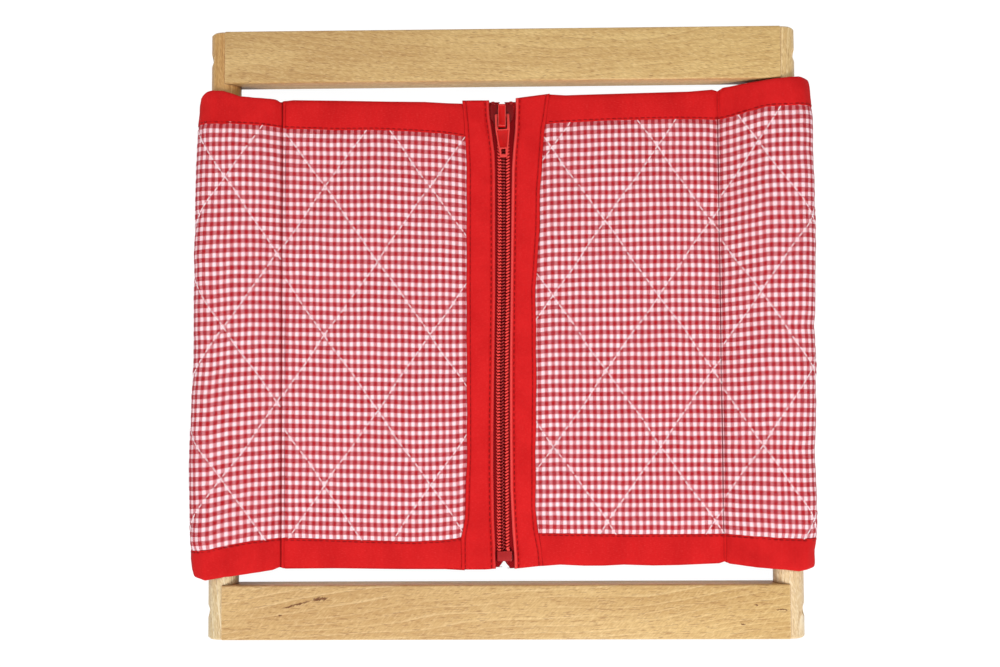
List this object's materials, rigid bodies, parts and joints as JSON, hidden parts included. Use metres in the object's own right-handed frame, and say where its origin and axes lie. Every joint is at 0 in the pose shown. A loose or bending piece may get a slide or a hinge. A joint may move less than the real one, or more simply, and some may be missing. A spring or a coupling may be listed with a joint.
{
  "type": "zipper dressing frame",
  "caption": "Wooden practice frame with two quilted cloth flaps wrapped round its posts and joined down the middle by a zip with a slider and pull tab",
  "frame": {"origin": "under the middle of the frame, on the surface that it lies on", "axes": "X to the right across the frame, Y toward the top rail, where the zip's slider starts, +Z out of the face"},
  "size_m": [0.316, 0.308, 0.0194],
  "materials": {
    "wood": "smooth lacquered beech",
    "steel": "zinc plated screw",
    "gingham": "red and white gingham, quilted in diamonds",
    "lining": "plain white cotton",
    "red_cotton": "plain red cotton",
    "zip_tape": "woven red tape",
    "zip_coil": "moulded red coil",
    "zip_stop": "red painted metal",
    "slider_enamel": "red enamelled metal"
  },
  "bodies": {
    "frame": {"left_post": "wood", "right_post": "wood", "top_rail": "wood", "bottom_rail": "wood", "screw_top_left": "steel", "screw_top_right": "steel", "screw_bottom_left": "steel", "screw_bottom_right": "steel", "left_sleeve": "gingham", "right_sleeve": "gingham", "left_sleeve_top_binding": "red_cotton", "left_sleeve_bottom_binding": "red_cotton", "right_sleeve_top_binding": "red_cotton", "right_sleeve_bottom_binding": "red_cotton"},
    "left_flap": {"left_panel": "gingham", "left_lining": "lining", "left_top_binding": "red_cotton", "left_bottom_binding": "red_cotton", "left_facing": "red_cotton", "left_tape": "zip_tape", "left_teeth": "zip_coil", "left_top_stop": "zip_stop", "retainer_box": "zip_stop"},
    "right_flap": {"right_panel": "gingham", "right_lining": "lining", "right_top_binding": "red_cotton", "right_bottom_binding": "red_cotton", "right_facing": "red_cotton", "right_tape": "zip_tape", "right_teeth": "zip_coil", "right_top_stop": "zip_stop", "insertion_pin": "zip_coil"},
    "slider": {"slider_body": "slider_enamel"},
    "pull_tab": {"pull_tab": "slider_enamel"}
  },
  "joints": [
    {"name": "left_flap_fold", "type": "hinge", "parent": "frame", "child": "left_flap", "pos_m": [-0.11165, 0, 0.0112], "axis": [0, -1, 0], "range_deg": [0, 150]},
    {"name": "right_flap_fold", "type": "hinge", "parent": "frame", "child": "right_flap", "pos_m": [0.11165, 0, 0.0112], "axis": [0, 1, 0], "range_deg": [0, 150]},
    {"name": "slider_run", "type": "slide", "parent": "left_flap", "child": "slider", "axis": [0, -1, 0], "range_m": [0, 0.2098], "deforming": ["left_teeth", "right_teeth", "left_tape", "right_tape"]},
    {"name": "pull_tab_swing", "type": "hinge", "parent": "slider", "child": "pull_tab", "pos_m": [0, 0.11, 0.0144], "axis": [-1, 0, 0], "range_deg": [0, 160]}
  ]
}
